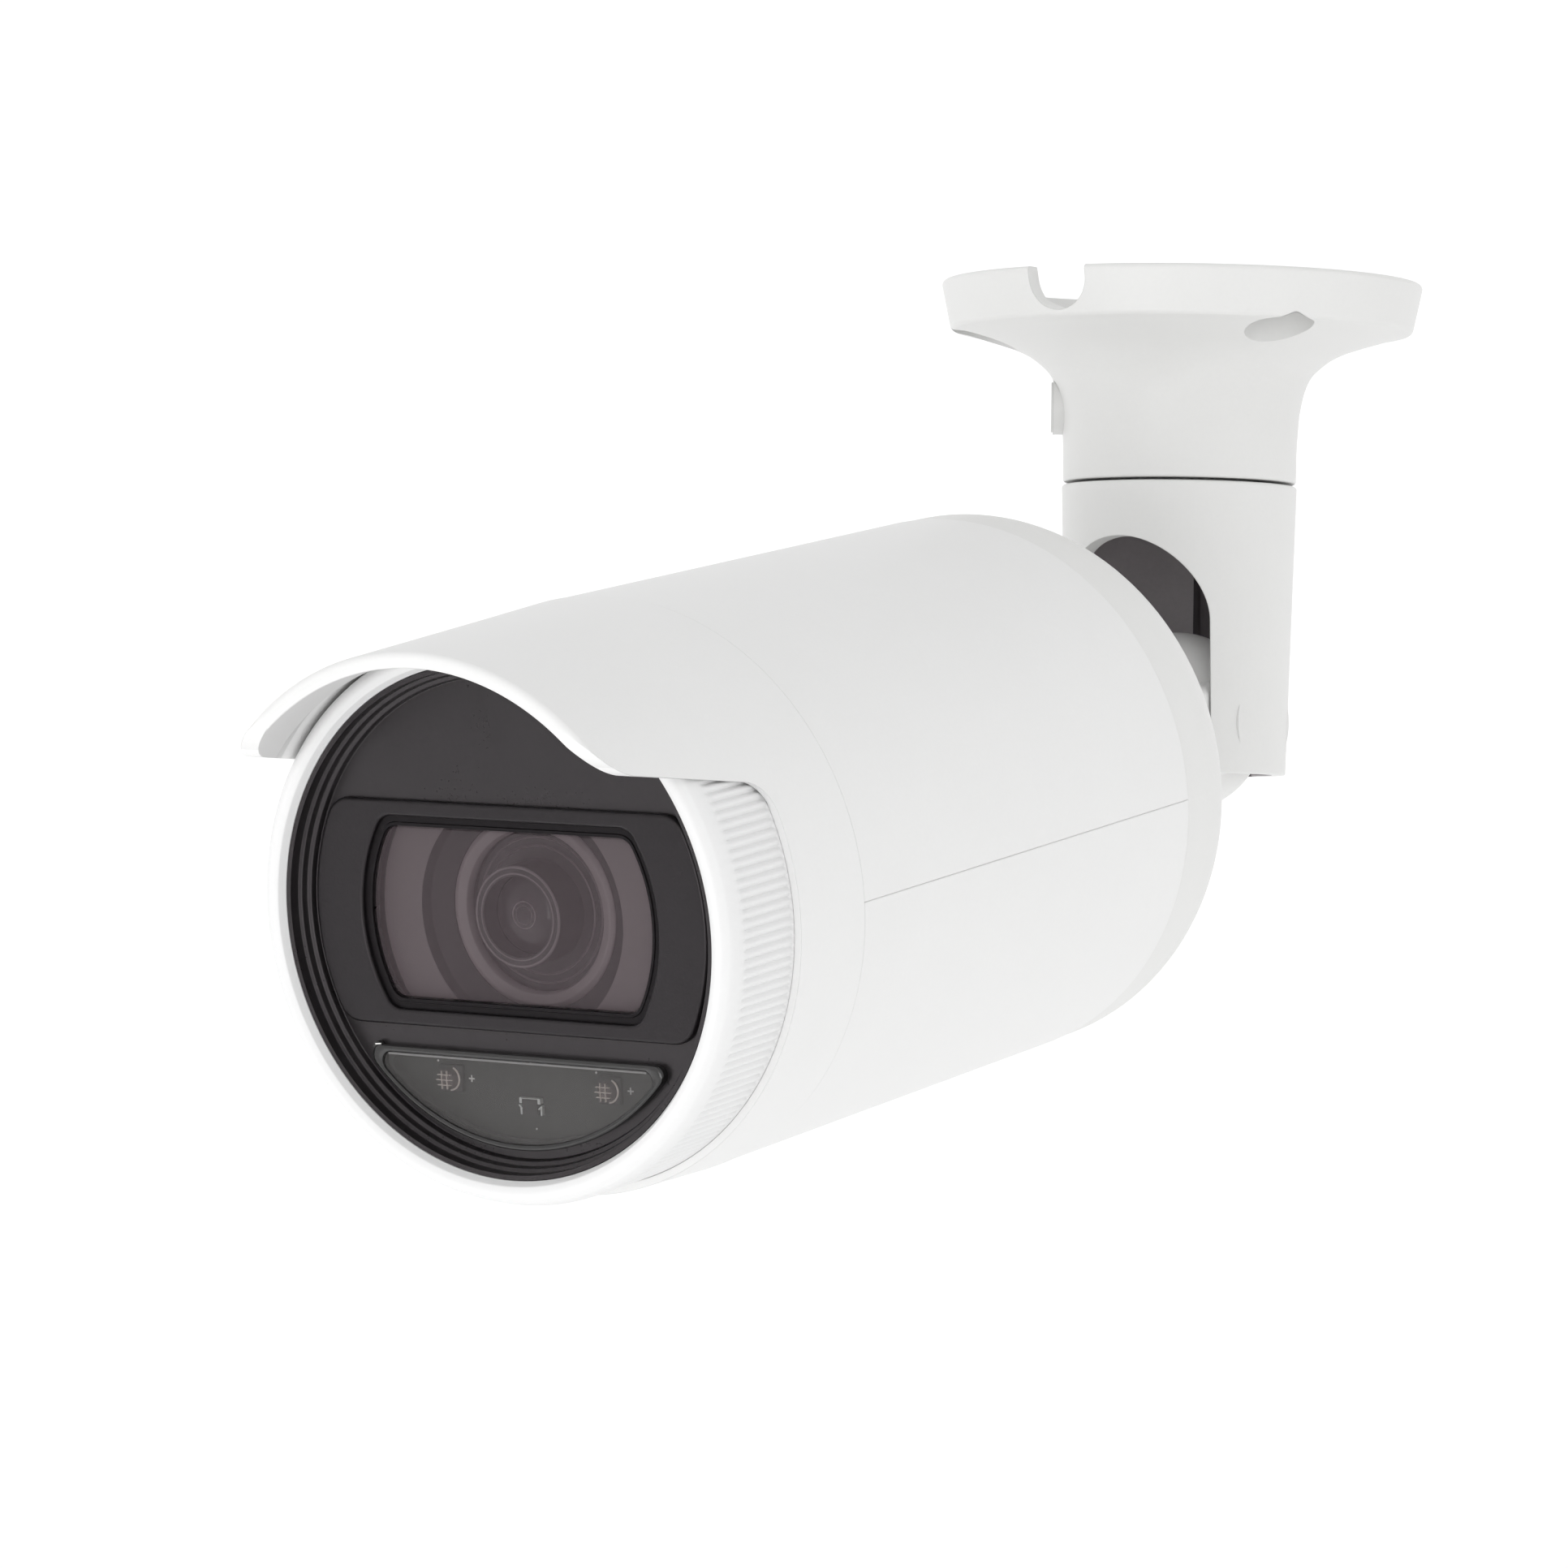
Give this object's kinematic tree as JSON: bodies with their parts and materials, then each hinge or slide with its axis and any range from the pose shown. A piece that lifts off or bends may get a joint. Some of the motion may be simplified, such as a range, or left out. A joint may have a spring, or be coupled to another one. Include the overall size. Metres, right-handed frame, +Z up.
{
  "type": "security camera",
  "caption": "Ceiling-mounted bullet security camera with a sunshield, a turning front ring and a bracket that pans, tilts and rotates.",
  "frame": {"origin": "centre of the mount face, the plane of the ceiling base's rim", "axes": "+Z up out of the mount face towards the ceiling, +Y backwards, so the camera looks towards -Y and down"},
  "size_m": [0.0854, 0.2482, 0.1453],
  "materials": {
    "white_paint": "satin",
    "steel": "satin",
    "nylon": "matte",
    "brass": "satin",
    "rubber": "matte",
    "cast_aluminium": "matte",
    "black_plastic": "satin",
    "gloss_black": "gloss",
    "window_glass": "gloss",
    "smoked_window": "gloss",
    "circuit_board": "satin",
    "led_resin": "gloss",
    "chip": "matte",
    "lens_black": "matte",
    "optical_glass": "gloss",
    "filter_glass": "gloss",
    "copper": "satin",
    "thermal_pad": "matte"
  },
  "bodies": {
    "base": {"ceiling_base": "white_paint", "pan_lock_screw": "steel"},
    "arm": {"arm_housing": "white_paint", "pan_retainer_plate": "steel", "pan_retainer_screws": "steel", "tilt_bolt": "steel", "tilt_pin": "steel", "tilt_washers": "nylon"},
    "knuckle": {"knuckle": "white_paint", "rotate_washer": "nylon", "rotate_nut": "brass", "cable_gland": "rubber"},
    "camera": {"rear_cap": "white_paint", "rear_cap_screws": "steel", "rear_cap_seal": "rubber", "shell_upper": "white_paint", "shell_lower": "white_paint", "casing_screws": "steel", "service_hatch": "white_paint", "hatch_seal": "rubber", "sunshield": "white_paint", "sunshield_screws": "steel", "front_housing": "cast_aluminium", "front_seal": "rubber", "front_plate": "black_plastic", "bezel_frame": "gloss_black", "lens_window": "window_glass", "led_window": "smoked_window", "led_board": "circuit_board", "ir_leds": "led_resin", "light_sensor": "chip", "lens_barrel": "lens_black", "front_lens": "optical_glass", "zoom_motor": "steel", "focus_motor": "steel", "lens_shroud": "black_plastic", "lens_mount": "lens_black", "ir_cut_frame": "lens_black", "ir_cut_solenoid": "copper", "sensor_board": "circuit_board", "image_sensor": "chip", "inner_chassis": "cast_aluminium", "main_board": "circuit_board", "power_board": "circuit_board", "board_posts": "brass", "board_screws": "steel", "processor": "chip", "heat_pad": "thermal_pad", "heat_spreader": "cast_aluminium", "board_parts": "chip"},
    "ring": {"front_ring": "white_paint"},
    "zoom_carriage": {"zoom_cell": "lens_black", "zoom_lens": "optical_glass"},
    "focus_carriage": {"focus_cell": "lens_black", "focus_lens": "optical_glass"},
    "zoom_drive": {"zoom_screw": "steel"},
    "focus_drive": {"focus_screw": "steel"},
    "ir_filter": {"ir_cut_filter": "filter_glass"},
    "card": {"memory_card": "chip"},
    "reset": {"reset_button": "nylon"}
  },
  "joints": [
    {"name": "pan", "type": "hinge", "parent": "base", "child": "arm", "pos_m": [0, 0, -0.03285], "axis": [0, 0, 1], "range_deg": [-180, 180]},
    {"name": "tilt", "type": "hinge", "parent": "arm", "child": "knuckle", "pos_m": [0, 0, -0.07114], "axis": [1, 0, 0], "range_deg": [-10.46, 79.54]},
    {"name": "rotate", "type": "hinge", "parent": "knuckle", "child": "camera", "pos_m": [0, 0, -0.07114], "axis": [0, -0.9834, -0.1815], "range_deg": [-180, 180]},
    {"name": "ring_turn", "type": "hinge", "parent": "camera", "child": "ring", "pos_m": [0, -0.16919, -0.10238], "axis": [0, -0.9834, -0.1815], "range_deg": [0, 40]},
    {"name": "zoom_travel", "type": "slide", "parent": "camera", "child": "zoom_carriage", "axis": [0, -0.9834, -0.1815], "range_m": [-0.003, 0.005]},
    {"name": "zoom_screw_turn", "type": "hinge", "parent": "camera", "child": "zoom_drive", "pos_m": [0.01998, -0.14731, -0.09919], "axis": [0, -0.9834, -0.1815], "range_deg": [-1810, 1090]},
    {"name": "focus_travel", "type": "slide", "parent": "camera", "child": "focus_carriage", "axis": [0, -0.9834, -0.1815], "range_m": [-0.002, 0.003]},
    {"name": "focus_screw_turn", "type": "hinge", "parent": "camera", "child": "focus_drive", "pos_m": [-0.01998, -0.14761, -0.09754], "axis": [0, -0.9834, -0.1815], "range_deg": [-1090, 730]},
    {"name": "filter_switch", "type": "slide", "parent": "camera", "child": "ir_filter", "axis": [0.9991, 0.0076, -0.0412], "range_m": [0, 0.008]},
    {"name": "card_slide", "type": "slide", "parent": "camera", "child": "card", "axis": [0, 0.9834, 0.1815], "range_m": [0, 0.014]},
    {"name": "reset_press", "type": "slide", "parent": "camera", "child": "reset", "axis": [0.0419, -0.1814, 0.9825], "range_m": [0, 0.0005], "stiffness_N_per_m": 600, "springref_m": -0.0003}
  ],
  "couplings": [
    {"joint": "zoom_screw_turn", "follows": "zoom_travel", "rad_per_m": -6283.2},
    {"joint": "focus_screw_turn", "follows": "focus_travel", "rad_per_m": -6283.2}
  ]
}
